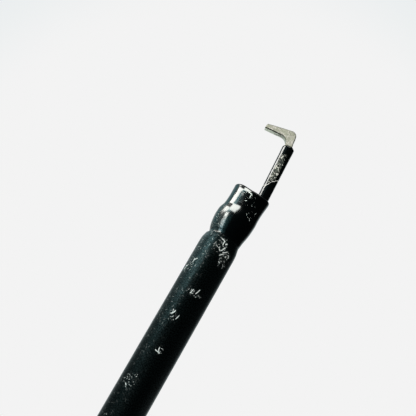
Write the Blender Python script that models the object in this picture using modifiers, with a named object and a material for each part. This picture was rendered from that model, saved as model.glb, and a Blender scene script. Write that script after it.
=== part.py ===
"""Slim hooked scratch awl: a bent steel bar held off centre in the sleeved nose of a tubular handle.

The origin is the centre of the flat butt face. +Z runs along the handle towards the tip, the shank stands
on the +X side, and the hook's arm points to -X. Depths are measured back from the nose's front edge.
All sizes are in metres.
"""

import math

import bmesh
import bpy
from mathutils import Vector

MM = 0.001

# Handle
HANDLE_LENGTH = 110.0 * MM
HANDLE_RADIUS = 5.0 * MM
TUBE_RADIUS = 3.9 * MM
TUBE_BORE_RADIUS = 3.0 * MM
TUBE_FRONT_DEPTH = 15.8 * MM
FIT_GAP = 0.05 * MM
SEAT_GAP = 0.1 * MM

# Nose: depth behind the front edge, outer radius, and sideways offset towards +X
NOSE_STATIONS = (
    (0.75 * MM, 4.98 * MM, 1.05 * MM),
    (3.6 * MM, 4.84 * MM, 0.85 * MM),
    (5.6 * MM, 4.90 * MM, 0.62 * MM),
    (7.3 * MM, 5.20 * MM, 0.33 * MM),
    (9.5 * MM, 5.16 * MM, 0.22 * MM),
    (11.1 * MM, 4.98 * MM, 0.18 * MM),
    (12.6 * MM, 4.70 * MM, 0.19 * MM),
    (14.0 * MM, 4.38 * MM, 0.30 * MM),
    (15.6 * MM, 4.40 * MM, 0.0),
    (19.0 * MM, 4.40 * MM, 0.0),
)
NOSE_WALL = 0.43 * MM
NOSE_RIM_RADIUS = 0.75 * MM
NOSE_RIM_SWEEP = math.radians(75)
NOSE_TAIL_DEPTH = 18.8 * MM
NOSE_RING_STEP = 0.95 * MM

# Grip sleeve front: depth, outer radius, sideways offset
GRIP_STATIONS = (
    (14.55 * MM, 4.64 * MM, 0.10 * MM),
    (16.3 * MM, 4.92 * MM, 0.0),
    (18.0 * MM, 5.0 * MM, 0.0),
)
GRIP_LIP_RADIUS = 0.12 * MM
GRIP_STEP_DEPTH = 19.2 * MM
GRIP_BUTT_GAP = 0.25 * MM
GRIP_BUTT_ROUND = 0.6 * MM

# Holder inside the nose
HOLDER_HEAD_DEPTH = 7.1 * MM
COLLAR_DEPTHS = (7.2 * MM, 10.6 * MM)
COLLAR_BORE_RADIUS = 3.7 * MM
SPIGOT_DEPTH = 26.0 * MM
SPIGOT_CHAMFER = 0.5 * MM

# Hook bar
BAR_RADIUS = 1.0 * MM
BAR_OFFSET = 3.8 * MM
BAR_LEAN = math.radians(2.4)
TANG_DEPTH = 6.5 * MM
BAR_INTO_HOOK = 0.8 * MM
HOOK_DEPTH = 2.1 * MM
NECK_LEFT = 2.07 * MM
NECK_RIGHT = 3.97 * MM
NECK_RIGHT_TOP = 3.72 * MM
ARM_UNDERSIDE = 18.3 * MM
ARM_TOP = 20.9 * MM
TIP_REACH = -4.9 * MM
TIP_TOP_REACH = -4.45 * MM
TIP_HEIGHT = 0.92 * MM
INNER_FILLET = 2.1 * MM
OUTER_FILLET = 1.1 * MM
HOOK_EDGE = 0.22 * MM

# Shank sleeve
SHANK_SLEEVE_TOP = 16.15 * MM
SHANK_SLEEVE_RADII = (1.45 * MM, 1.55 * MM)
SHANK_SLEEVE_CHAMFER = (0.38 * MM, 0.6 * MM)

# Cross pins
TANG_PIN_RADIUS = 0.45 * MM
TANG_PIN_DEPTH = 4.0 * MM
TANG_PIN_LENGTH = 5.6 * MM
HOLDER_PIN_RADIUS = 0.75 * MM
HOLDER_PIN_DEPTH = 22.0 * MM
HOLDER_PIN_LENGTH = 7.6 * MM
PIN_GAP = 0.03 * MM

# End plug
PLUG_HEAD_HEIGHT = 2.4 * MM
PLUG_LENGTH = 10.0 * MM
PLUG_EDGE = 0.3 * MM

SEGMENTS = 36
PIN_SEGMENTS = 20
ARC_STEPS = 5
MERGE = 0.000001
SHARP_ANGLE = math.radians(35)


def clear_scene():
    for item in list(bpy.data.objects):
        bpy.data.objects.remove(item, do_unlink=True)


def new_collection(name):
    collection = bpy.data.collections.new(name)
    bpy.context.scene.collection.children.link(collection)
    return collection


def new_material(name, colour, roughness, metallic):
    material = bpy.data.materials.new(name)
    material.use_nodes = True
    shader = material.node_tree.nodes["Principled BSDF"]
    shader.inputs["Base Color"].default_value = (*colour, 1.0)
    shader.inputs["Roughness"].default_value = roughness
    shader.inputs["Metallic"].default_value = metallic
    return material


def new_object(name, data, collection):
    item = bpy.data.objects.new(name, data)
    collection.objects.link(item)
    return item


def baked(item):
    """Replace an object's curve or modifiers by the mesh that they make, in world space."""
    graph = bpy.context.evaluated_depsgraph_get()
    mesh = bpy.data.meshes.new_from_object(item.evaluated_get(graph))
    mesh.transform(item.matrix_world)
    work = bmesh.new()
    work.from_mesh(mesh)
    bmesh.ops.remove_doubles(work, verts=work.verts, dist=MERGE)
    work.to_mesh(mesh)
    work.free()
    solid = new_object(item.name + ".solid", mesh, item.users_collection[0])
    name = item.name
    bpy.data.objects.remove(item, do_unlink=True)
    solid.name = name
    mesh.name = name
    return solid


def finished(item, material):
    """Give a solid its material, and shade it smooth up to its sharp edges."""
    item.data.materials.clear()
    item.data.materials.append(material)
    item.data.shade_smooth()
    item.data.set_sharp_from_angle(angle=SHARP_ANGLE)
    return item


def turned(name, profile, collection, ring=False, segments=SEGMENTS):
    """Turn a profile of (radius, height) about +Z. A ring's profile closes on itself."""
    count = len(profile)
    edges = [(i, i + 1) for i in range(count - 1)]
    if ring:
        edges.append((count - 1, 0))
    mesh = bpy.data.meshes.new(name)
    mesh.from_pydata([(radius, 0.0, height) for radius, height in profile], edges, [])
    item = new_object(name, mesh, collection)
    screw = item.modifiers.new("Turn", "SCREW")
    screw.axis = "Z"
    screw.steps = segments
    screw.render_steps = segments
    screw.use_merge_vertices = True
    screw.merge_threshold = MERGE
    screw.use_normal_calculate = True
    return item


def cut(item, cutters):
    """Take each cutter out of a solid."""
    for cutter in cutters:
        boolean = item.modifiers.new("Cut", "BOOLEAN")
        boolean.operation = "DIFFERENCE"
        boolean.solver = "EXACT"
        boolean.object = cutter


def rod(name, radius, length, collection, segments=PIN_SEGMENTS):
    """A plain round rod along Z, centred on its origin."""
    mesh = bpy.data.meshes.new(name)
    work = bmesh.new()
    bmesh.ops.create_cone(
        work, cap_ends=True, segments=segments, radius1=radius, radius2=radius, depth=length
    )
    work.to_mesh(mesh)
    work.free()
    return new_object(name, mesh, collection)


def cutting_rod(name, radius, length, collection, segments=PIN_SEGMENTS):
    cutter = rod(name, radius, length, collection, segments)
    cutter.hide_render = True
    cutter.display_type = "WIRE"
    return cutter


def station_values(stations, depth):
    """Outer radius and sideways offset at a depth, on a smooth curve through the stations."""
    if depth <= stations[0][0]:
        return stations[0][1:]
    if depth >= stations[-1][0]:
        return stations[-1][1:]
    index = max(i for i, station in enumerate(stations) if station[0] <= depth)
    before = stations[max(index - 1, 0)]
    start = stations[index]
    end = stations[index + 1]
    after = stations[min(index + 2, len(stations) - 1)]
    span = end[0] - start[0]
    share = (depth - start[0]) / span
    values = []
    for column in (1, 2):
        slope_in = (end[column] - before[column]) / (end[0] - before[0]) * span
        slope_out = (after[column] - start[column]) / (after[0] - start[0]) * span
        values.append(
            (2 * share**3 - 3 * share**2 + 1) * start[column]
            + (share**3 - 2 * share**2 + share) * slope_in
            + (3 * share**2 - 2 * share**3) * end[column]
            + (share**3 - share**2) * slope_out
        )
    return values


def depths_between(first, last, step):
    count = max(1, round((last - first) / step))
    return [first + (last - first) * i / count for i in range(count + 1)]


def height(depth):
    return HANDLE_LENGTH - depth


def shift_sideways(item, stations):
    """Move each ring of a turned solid towards +X by the offset of its depth."""
    for vertex in item.data.vertices:
        vertex.co.x += station_values(stations, HANDLE_LENGTH - vertex.co.z)[1]


def arc(centre, radius, start, end, steps=ARC_STEPS):
    """Points of an arc in a plane, from one angle to another."""
    points = []
    for i in range(steps + 1):
        angle = start + (end - start) * i / steps
        points.append((centre[0] + radius * math.cos(angle), centre[1] + radius * math.sin(angle)))
    return points


def nose_profile(inset, rim_radius, last_depth):
    """Outer side of the nose, front to back, drawn in by an inset."""
    first = NOSE_STATIONS[0][0]
    centre = (NOSE_STATIONS[0][1] - NOSE_RIM_RADIUS, height(NOSE_RIM_RADIUS))
    points = arc(centre, rim_radius, NOSE_RIM_SWEEP, 0.0)
    for depth in depths_between(first, last_depth, NOSE_RING_STEP)[1:]:
        points.append((station_values(NOSE_STATIONS, depth)[0] - inset, height(depth)))
    return points


def build_nose_sleeve(collection, material):
    outer = nose_profile(0.0, NOSE_RIM_RADIUS, NOSE_TAIL_DEPTH)
    inner = nose_profile(NOSE_WALL, NOSE_RIM_RADIUS - NOSE_WALL, NOSE_TAIL_DEPTH)
    sleeve = baked(turned("nose_sleeve", outer + inner[::-1], collection, ring=True))
    shift_sideways(sleeve, NOSE_STATIONS)
    return finished(sleeve, material)


def build_grip_sleeve(collection, material):
    """The long sleeve: a thin lip over the nose sleeve's tail, then one straight bore over the tube."""
    lip_depth, lip_outer, _ = GRIP_STATIONS[0]
    full_depth = GRIP_STATIONS[-1][0]
    lip_centre = (lip_outer - GRIP_LIP_RADIUS, height(lip_depth + GRIP_LIP_RADIUS))
    profile = arc(lip_centre, GRIP_LIP_RADIUS, math.pi / 2, 0.0, 3)
    for depth in depths_between(lip_depth, full_depth, NOSE_RING_STEP)[1:]:
        profile.append((station_values(GRIP_STATIONS, depth)[0], height(depth)))
    butt_centre = (HANDLE_RADIUS - GRIP_BUTT_ROUND, GRIP_BUTT_GAP + GRIP_BUTT_ROUND)
    profile += arc(butt_centre, GRIP_BUTT_ROUND, 0.0, -math.pi / 2)
    bore = TUBE_RADIUS + FIT_GAP
    profile.append((bore, GRIP_BUTT_GAP))
    profile.append((bore, height(GRIP_STEP_DEPTH)))
    for depth in depths_between(lip_depth, NOSE_TAIL_DEPTH + SEAT_GAP, NOSE_RING_STEP)[::-1]:
        radius = station_values(NOSE_STATIONS, depth)[0] + FIT_GAP
        profile.append((radius, height(depth)))
    sleeve = baked(turned("grip_sleeve", profile, collection, ring=True))
    bore_limit = NOSE_STATIONS[-1][1] + 2 * FIT_GAP
    for vertex in sleeve.data.vertices:
        depth = HANDLE_LENGTH - vertex.co.z
        inside = math.hypot(vertex.co.x, vertex.co.y) < bore_limit
        stations = NOSE_STATIONS if inside else GRIP_STATIONS
        vertex.co.x += station_values(stations, depth)[1]
    return finished(sleeve, material)


def build_handle_tube(collection, cutters, material):
    top = height(TUBE_FRONT_DEPTH)
    bottom = PLUG_HEAD_HEIGHT + SEAT_GAP
    profile = [
        (TUBE_RADIUS, top),
        (TUBE_RADIUS, bottom),
        (TUBE_BORE_RADIUS, bottom),
        (TUBE_BORE_RADIUS, top),
    ]
    tube = turned("handle_tube", profile, collection, ring=True)
    cut(tube, [cutters["holder_pin_hole"]])
    return finished(baked(tube), material)


def build_nose_holder(collection, cutters, material):
    """Off-centre head, land for the collar, neck, and the spigot that fits the tube."""
    inset = NOSE_WALL + FIT_GAP
    corner = NOSE_RIM_RADIUS - inset
    front = height(NOSE_RIM_RADIUS - corner)
    profile = [(0.0, front)]
    profile += arc(
        (NOSE_STATIONS[0][1] - NOSE_RIM_RADIUS, height(NOSE_RIM_RADIUS)), corner, math.pi / 2, 0.0, 3
    )
    for depth in depths_between(NOSE_STATIONS[0][0], HOLDER_HEAD_DEPTH, NOSE_RING_STEP)[1:]:
        profile.append((station_values(NOSE_STATIONS, depth)[0] - inset, height(depth)))
    land = COLLAR_BORE_RADIUS - FIT_GAP
    neck_front = COLLAR_DEPTHS[1] + SEAT_GAP
    neck_back = TUBE_FRONT_DEPTH - SEAT_GAP
    profile.append((land, height(HOLDER_HEAD_DEPTH)))
    for depth in depths_between(neck_front, neck_back, NOSE_RING_STEP):
        radius = station_values(NOSE_STATIONS, depth)[0] - inset
        profile.append((min(radius, land), height(depth)))
    spigot = TUBE_BORE_RADIUS - FIT_GAP
    profile.append((spigot, height(neck_back)))
    profile.append((spigot, height(SPIGOT_DEPTH - SPIGOT_CHAMFER)))
    profile.append((spigot - SPIGOT_CHAMFER, height(SPIGOT_DEPTH)))
    profile.append((0.0, height(SPIGOT_DEPTH)))
    holder = baked(turned("nose_holder", profile, collection))
    shift_sideways(holder, NOSE_STATIONS)
    cut(holder, [cutters["tang_hole"], cutters["tang_pin_hole"], cutters["holder_pin_hole"]])
    return finished(baked(holder), material)


def build_collar(collection, material):
    """Ring on the holder's land; it makes the nose's swelling."""
    inset = NOSE_WALL + FIT_GAP
    profile = []
    depths = depths_between(*COLLAR_DEPTHS, NOSE_RING_STEP)
    for depth in depths:
        profile.append((station_values(NOSE_STATIONS, depth)[0] - inset, height(depth)))
    for depth in reversed(depths):
        profile.append((COLLAR_BORE_RADIUS, height(depth)))
    collar = baked(turned("collar", profile, collection, ring=True))
    shift_sideways(collar, NOSE_STATIONS)
    return finished(collar, material)


def hook_outline():
    """Side outline of the hook as (x, height above the nose's front edge), anticlockwise."""
    neck_bottom = SHANK_SLEEVE_TOP + FIT_GAP
    inner_centre = (NECK_LEFT - INNER_FILLET, ARM_UNDERSIDE - INNER_FILLET)
    outer_centre = (NECK_RIGHT_TOP - OUTER_FILLET, ARM_TOP - OUTER_FILLET)
    top_slope = math.atan2(ARM_TOP - ARM_UNDERSIDE - TIP_HEIGHT, outer_centre[0] - TIP_TOP_REACH)
    points = [(NECK_LEFT, neck_bottom), (NECK_RIGHT, neck_bottom)]
    points += arc(outer_centre, OUTER_FILLET, 0.0, math.pi / 2 + top_slope, 7)
    points.append((TIP_TOP_REACH, ARM_UNDERSIDE + TIP_HEIGHT))
    points.append((TIP_REACH, ARM_UNDERSIDE))
    points += arc(inner_centre, INNER_FILLET, math.pi / 2, 0.0, 8)[:-1]
    return points


def build_hook_head(collection):
    """The flat-sided hook: its outline filled, and thickened along Y."""
    curve = bpy.data.curves.new("hook_head", "CURVE")
    curve.dimensions = "2D"
    curve.fill_mode = "BOTH"
    curve.extrude = HOOK_DEPTH / 2
    outline = hook_outline()
    spline = curve.splines.new("POLY")
    spline.points.add(len(outline) - 1)
    for point, (x, z) in zip(spline.points, outline):
        point.co = (x, z, 0.0, 1.0)
    spline.use_cyclic_u = True
    head = new_object("hook_head", curve, collection)
    head.location.z = HANDLE_LENGTH
    head.rotation_euler.x = math.pi / 2
    bpy.context.view_layer.update()
    head = baked(head)
    bevel = head.modifiers.new("Eased edges", "BEVEL")
    bevel.width = HOOK_EDGE
    bevel.segments = 2
    bevel.limit_method = "ANGLE"
    bevel.angle_limit = SHARP_ANGLE
    return baked(head)


def lean_direction():
    return Vector((-math.sin(BAR_LEAN), 0.0, math.cos(BAR_LEAN)))


def bar_mouth():
    """Where the bar leaves the holder's front face."""
    return Vector((BAR_OFFSET, 0.0, height(NOSE_WALL + FIT_GAP)))


def build_hook_bar(collection, cutters, material):
    """Upright tang, leaning round shank and flat-sided hook, made as one bar."""
    curve = bpy.data.curves.new("hook_bar", "CURVE")
    curve.dimensions = "3D"
    curve.bevel_depth = BAR_RADIUS
    curve.bevel_resolution = 6
    curve.use_fill_caps = True
    mouth = bar_mouth()
    reach = (SHANK_SLEEVE_TOP + NOSE_WALL + BAR_INTO_HOOK) / math.cos(BAR_LEAN)
    stops = [Vector((BAR_OFFSET, 0.0, height(TANG_DEPTH))), mouth, mouth + lean_direction() * reach]
    spline = curve.splines.new("POLY")
    spline.points.add(len(stops) - 1)
    for point, stop in zip(spline.points, stops):
        point.co = (*stop, 1.0)
    bar = baked(new_object("hook_bar", curve, collection))
    head = build_hook_head(cutters["collection"])
    join = bar.modifiers.new("Join hook", "BOOLEAN")
    join.operation = "UNION"
    join.solver = "EXACT"
    join.object = head
    cut(bar, [cutters["tang_pin_hole"]])
    bar = baked(bar)
    bpy.data.objects.remove(head, do_unlink=True)
    return finished(bar, material)


def build_shank_sleeve(collection, material):
    """Thin sleeve on the shank, a little wider at its bevelled top end."""
    low_radius, high_radius = SHANK_SLEEVE_RADII
    bevel_width, bevel_height = SHANK_SLEEVE_CHAMFER
    bore = BAR_RADIUS + FIT_GAP
    length = (SHANK_SLEEVE_TOP + NOSE_WALL - SEAT_GAP) / math.cos(BAR_LEAN)
    base = 2 * SEAT_GAP
    profile = [
        (high_radius - bevel_width, length),
        (high_radius, length - bevel_height),
        (low_radius, base),
        (bore, base),
        (bore, length),
    ]
    sleeve = turned("shank_sleeve", profile, collection, ring=True, segments=SEGMENTS // 2)
    sleeve.location = bar_mouth()
    sleeve.rotation_euler.y = -BAR_LEAN
    return finished(sleeve, material)


def build_end_plug(collection, material):
    """Push-in plug: a flat butt face, a head that stops the tube, and a spigot in the bore."""
    spigot = TUBE_BORE_RADIUS - FIT_GAP
    profile = [
        (0.0, PLUG_LENGTH),
        (spigot - PLUG_EDGE, PLUG_LENGTH),
        (spigot, PLUG_LENGTH - PLUG_EDGE),
        (spigot, PLUG_HEAD_HEIGHT),
        (TUBE_RADIUS, PLUG_HEAD_HEIGHT),
        (TUBE_RADIUS, PLUG_EDGE),
        (TUBE_RADIUS - PLUG_EDGE, 0.0),
        (0.0, 0.0),
    ]
    return finished(turned("end_plug", profile, collection), material)


def build_pin(name, radius, length, x, depth, collection, material):
    """A headless cross pin along Y."""
    pin = rod(name, radius, length, collection)
    pin.location = (x, 0.0, height(depth))
    pin.rotation_euler.x = math.pi / 2
    return finished(pin, material)


def build_cutters():
    collection = new_collection("cutters")
    tang_length = TANG_DEPTH + SEAT_GAP
    tang_hole = cutting_rod(
        "tang_hole", BAR_RADIUS + FIT_GAP, 2 * tang_length, collection, SEGMENTS // 2
    )
    tang_hole.location = (BAR_OFFSET, 0.0, HANDLE_LENGTH)
    tang_pin_hole = cutting_rod(
        "tang_pin_hole", TANG_PIN_RADIUS + PIN_GAP, 4 * HANDLE_RADIUS, collection
    )
    tang_pin_hole.location = (BAR_OFFSET, 0.0, height(TANG_PIN_DEPTH))
    tang_pin_hole.rotation_euler.x = math.pi / 2
    holder_pin_hole = cutting_rod(
        "holder_pin_hole", HOLDER_PIN_RADIUS + PIN_GAP, 4 * HANDLE_RADIUS, collection
    )
    holder_pin_hole.location = (0.0, 0.0, height(HOLDER_PIN_DEPTH))
    holder_pin_hole.rotation_euler.x = math.pi / 2
    bpy.context.view_layer.update()
    return {
        "collection": collection,
        "tang_hole": tang_hole,
        "tang_pin_hole": tang_pin_hole,
        "holder_pin_hole": holder_pin_hole,
    }


def main():
    clear_scene()
    parts = new_collection("scratch_awl")
    cutters = build_cutters()
    steel = new_material("satin_steel", (0.45, 0.45, 0.37), 0.35, 1.0)
    tube_steel = new_material("tube_steel", (0.55, 0.56, 0.58), 0.4, 1.0)
    satin_sleeve = new_material("satin_black_sleeve", (0.012, 0.016, 0.016), 0.4, 0.0)
    glossy_sleeve = new_material("glossy_black_sleeve", (0.008, 0.012, 0.012), 0.18, 0.0)
    plug_plastic = new_material("black_plug_plastic", (0.02, 0.02, 0.02), 0.5, 0.0)
    build_hook_bar(parts, cutters, steel)
    build_shank_sleeve(parts, glossy_sleeve)
    build_nose_holder(parts, cutters, tube_steel)
    build_collar(parts, tube_steel)
    build_nose_sleeve(parts, glossy_sleeve)
    build_handle_tube(parts, cutters, tube_steel)
    build_grip_sleeve(parts, satin_sleeve)
    build_end_plug(parts, plug_plastic)
    build_pin(
        "tang_pin", TANG_PIN_RADIUS, TANG_PIN_LENGTH, BAR_OFFSET, TANG_PIN_DEPTH, parts, tube_steel
    )
    build_pin(
        "holder_pin", HOLDER_PIN_RADIUS, HOLDER_PIN_LENGTH, 0.0, HOLDER_PIN_DEPTH, parts, tube_steel
    )


main()
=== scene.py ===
"""Looks, light and camera for the hooked scratch awl.

The frame is the CAD part's: metres, origin at the centre of the flat butt face, +Z along the handle to the
tip, the shank on the +X side, the hook's arm pointing to -X. Lengths below are in millimetres unless a name
says otherwise; MM turns them into metres. "Depth" is the distance behind the nose's front edge.
"""

import math
import random

import bmesh
import bpy
from mathutils import Matrix, Vector, noise


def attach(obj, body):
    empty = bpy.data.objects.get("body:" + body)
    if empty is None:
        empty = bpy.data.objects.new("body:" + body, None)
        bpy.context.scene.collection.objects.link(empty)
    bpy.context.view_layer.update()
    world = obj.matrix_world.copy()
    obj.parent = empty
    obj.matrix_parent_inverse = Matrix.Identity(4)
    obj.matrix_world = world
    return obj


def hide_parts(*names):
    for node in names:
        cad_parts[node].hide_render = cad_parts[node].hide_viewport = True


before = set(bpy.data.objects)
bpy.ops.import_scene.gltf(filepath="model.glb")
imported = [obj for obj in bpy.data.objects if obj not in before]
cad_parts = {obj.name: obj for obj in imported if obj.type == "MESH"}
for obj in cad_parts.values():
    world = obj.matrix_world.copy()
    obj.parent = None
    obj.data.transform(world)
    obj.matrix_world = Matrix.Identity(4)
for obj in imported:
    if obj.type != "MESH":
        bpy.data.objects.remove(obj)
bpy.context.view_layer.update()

MM = 0.001

# Handle and nose. A station is a depth, an outer radius and a sideways offset towards +X.
HANDLE_LENGTH = 110.0
HANDLE_RADIUS = 5.0
NOSE_STATIONS = (
    (0.75, 5.0, 0.86),
    (3.6, 4.84, 0.72),
    (5.6, 4.90, 0.58),
    (7.3, 5.20, 0.33),
    (9.5, 5.16, 0.22),
    (11.1, 4.98, 0.18),
    (12.6, 4.70, 0.19),
    (14.0, 4.38, 0.30),
    (15.6, 4.40, 0.0),
    (19.0, 4.40, 0.0),
)
NOSE_WALL = 0.43
NOSE_RIM_RADIUS = 0.5
NOSE_RIM_SWEEP = math.radians(75)
NOSE_TAIL_DEPTH = 18.8
NOSE_TUCKED_FROM = (13.6, 14.4)
NECK_FULLNESS = 0.24
NECK_FULL_SIDE = (4.0, 82.0)
GRIP_STATIONS = (
    (14.55, 4.64, 0.10),
    (16.3, 4.92, 0.0),
    (18.0, 5.0, 0.0),
)
GRIP_LIP_RADIUS = 0.12
GRIP_STEP_DEPTH = 19.2
GRIP_BORE = 3.95
GRIP_BUTT_GAP = 0.25
GRIP_BUTT_ROUND = 0.6
FIT_GAP = 0.05
SLEEVE_SEGMENTS = 168

# Shank sleeve
BAR_OFFSET = 3.75
BAR_LEAN = math.radians(2.4)
BAR_MOUTH_DEPTH = 0.48
BAR_RADIUS = 1.0
SHANK_SLEEVE_LENGTH = 16.75
SHANK_SLEEVE_BASE = 0.2
SHANK_SLEEVE_RADII = (1.50, 1.63)
SHANK_SLEEVE_CHAMFER = (0.42, 0.5)
SHANK_SEGMENTS = 72
TEAR_HEIGHT = 5.5
TEAR_RISE = 1.1
TEAR_DIP = 1.7
TEAR_BACK_DROP = 0.5

# Hook
HOOK_DEPTH = 2.1
NECK_LEFT = 1.87
NECK_RIGHT = 3.90
NECK_RIGHT_TOP = 3.50
ARM_UNDERSIDE = 18.05
ARM_TOP = 20.5
TIP_REACH = -4.9
TIP_TOP_REACH = -4.7
TIP_HEIGHT = 1.18
TIP_DROP = 0.2
INNER_FILLET = 2.1
OUTER_FILLET = 1.5
TANG_DEPTH = 6.5
NECK_BOTTOM = 15.6
NECK_RISE = 1.6
BEND_END = 0.0

# Camera
LENS_MM = 75.0
SENSOR_MM = 36.0
CAMERA_AZIMUTH = math.radians(8.0)
TOOL_TILT = math.radians(16.9)
CAMERA_DISTANCE = 219.4
AIM_HEIGHT = 100.99
AIM_SIDE = -7.23
TOOL_IN_FRAME = (0.506, 0.8625)

# Light and background
LIGHT_AIM_HEIGHT = 103.0
WARM = (1.0, 0.95, 0.89)
TEAL = (0.72, 0.96, 1.0)
DEEP_TEAL = (0.35, 0.92, 1.0)
PALE = (0.95, 0.98, 1.0)
SILVER = (0.87, 1.0, 0.97)
BACKGROUND = (0.8963, 0.8963, 0.8963)
# Colour of the painted shade in the background's corners.
BACKGROUND_CORNER_SHADE = (0.823, 0.855, 0.863)

# CAD nodes shown as they are, mostly out of sight
HIDDEN_NODES = ("nose_holder", "collar", "handle_tube", "tang_pin", "holder_pin", "end_plug")


# ---------------------------------------------------------------- mesh helpers

def arc(centre, radius, start, end, steps):
    """Points along an arc, angles in radians."""
    points = []
    for i in range(steps + 1):
        angle = start + (end - start) * i / steps
        points.append((centre[0] + radius * math.cos(angle), centre[1] + radius * math.sin(angle)))
    return points


def station_values(stations, depth):
    """Outer radius and sideways offset at a depth, on a smooth curve through the stations."""
    if depth <= stations[0][0]:
        return stations[0][1:]
    if depth >= stations[-1][0]:
        return stations[-1][1:]
    index = max(i for i, station in enumerate(stations) if station[0] <= depth)
    before = stations[max(index - 1, 0)]
    start = stations[index]
    end = stations[index + 1]
    after = stations[min(index + 2, len(stations) - 1)]
    span = end[0] - start[0]
    share = (depth - start[0]) / span
    values = []
    for column in (1, 2):
        slope_in = (end[column] - before[column]) / (end[0] - before[0]) * span
        slope_out = (after[column] - start[column]) / (after[0] - start[0]) * span
        values.append(
            (2 * share**3 - 3 * share**2 + 1) * start[column]
            + (share**3 - 2 * share**2 + share) * slope_in
            + (3 * share**2 - 2 * share**3) * end[column]
            + (share**3 - share**2) * slope_out
        )
    return values


def depths_between(first, last, step):
    """Evenly spaced values from first to last, about one step apart."""
    count = max(1, round((last - first) / step))
    return [first + (last - first) * i / count for i in range(count + 1)]


def height(depth):
    """Height above the butt face of a depth behind the nose's front edge."""
    return HANDLE_LENGTH - depth


def smooth_step(low, high, value):
    """0 at low rising to 1 at high; low may be the larger."""
    share = min(1.0, max(0.0, (value - low) / (high - low)))
    return share * share * (3 - 2 * share)


def ripple(x, y, z, scale, seed):
    """Smooth noise in -1..1 at a place in millimetres."""
    return noise.noise(Vector((x * scale + seed, y * scale - seed, z * scale + 2 * seed)))


def directions_round(segments):
    """Degrees round a ring (0 towards -Y, 90 towards +X) with the matching unit x and y."""
    for k in range(segments):
        turn = 2 * math.pi * k / segments
        yield math.degrees(turn), math.sin(turn), -math.cos(turn)


def mesh_piece(name, vertices, faces, sharp=35.0):
    """A shown piece from vertices in millimetres, smooth up to its sharp edges, riding on the body."""
    mesh = bpy.data.meshes.new(name)
    mesh.from_pydata([(x * MM, y * MM, z * MM) for x, y, z in vertices], [], faces)
    mesh.validate()
    mesh.shade_smooth()
    mesh.set_sharp_from_angle(angle=math.radians(sharp))
    item = bpy.data.objects.new(name, mesh)
    bpy.context.scene.collection.objects.link(item)
    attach(item, "root")
    return item


def ring_faces(rings, segments, closed):
    """Quads between neighbouring rings; a closed loop of rings also joins the last to the first."""
    faces = []
    last = rings if closed else rings - 1
    for i in range(last):
        j = (i + 1) % rings
        for k in range(segments):
            n = (k + 1) % segments
            faces.append((i * segments + k, i * segments + n, j * segments + n, j * segments + k))
    return faces


def face_outward(item):
    """Turn the faces outward on a closed mesh."""
    work = bmesh.new()
    work.from_mesh(item.data)
    bmesh.ops.recalc_face_normals(work, faces=work.faces)
    work.to_mesh(item.data)
    work.free()


# ---------------------------------------------------------------- sleeves

def around(angle, centre, half_width):
    """1 at one side of the handle, falling to 0 at half_width degrees from it."""
    off = abs((angle - centre + 180.0) % 360.0 - 180.0)
    return 1.0 - smooth_step(0.0, half_width, off)


def bump_at(value, centre, half_width):
    """1 at the centre, falling smoothly to 0 at half_width from it."""
    return max(0.0, 1.0 - ((value - centre) / half_width) ** 2) ** 2


def nose_relief(angle, depth):
    """Local swell of the nose sleeve in millimetres: the tubing isn't quite round over the collar."""
    swell = 0.0
    swell -= 0.05 * around(angle, 70, 50) * bump_at(depth, 12.4, 1.8)
    swell += 0.03 * around(angle, -60, 60) * bump_at(depth, 8.2, 2.4)
    swell -= 0.12 * around(angle, -12, 43) * bump_at(depth, 6.7, 1.9)
    swell -= 0.12 * around(angle, -56, 44) * bump_at(depth, 7.4, 2.1)
    swell -= 0.13 * around(angle, -44, 50) * (1.0 - smooth_step(0.3, 4.0, depth))
    swell -= 0.34 * around(angle, -12, 56) * max(0.0, 1.0 - depth / 2.0) ** 2
    swell -= 0.24 * around(angle, -42, 34) * max(0.0, 1.0 - depth / 1.5) ** 2
    return swell


def neck_fullness(angle, depth):
    """The neck is a little oval: fuller towards -Y, where it runs into the handle without a step."""
    return NECK_FULLNESS * around(angle, *NECK_FULL_SIDE) * bump_at(depth, 15.4, 4.6)


def rim_drop(angle, depth):
    """How far the tubing's front edge hangs back: it dips on the side facing -Y and stands up on the left."""
    drop = 0.64 * around(angle, 20, 70) - 0.22 * around(angle, -60, 50)
    return drop * (1.0 - smooth_step(0.0, 2.4, depth))


def rim_corner(angle, z):
    """How far the rounded rim is pushed out along its own normal, for a tighter corner on the left."""
    rise = (z - height(NOSE_RIM_RADIUS)) / NOSE_RIM_RADIUS
    if rise <= 0.0:
        return 0.0, 0.0
    turn = math.asin(min(rise, 1.0))
    push = 0.10 * math.sin(2 * turn) * around(angle, -75, 85)
    return push * math.cos(turn), push * math.sin(turn)


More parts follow.
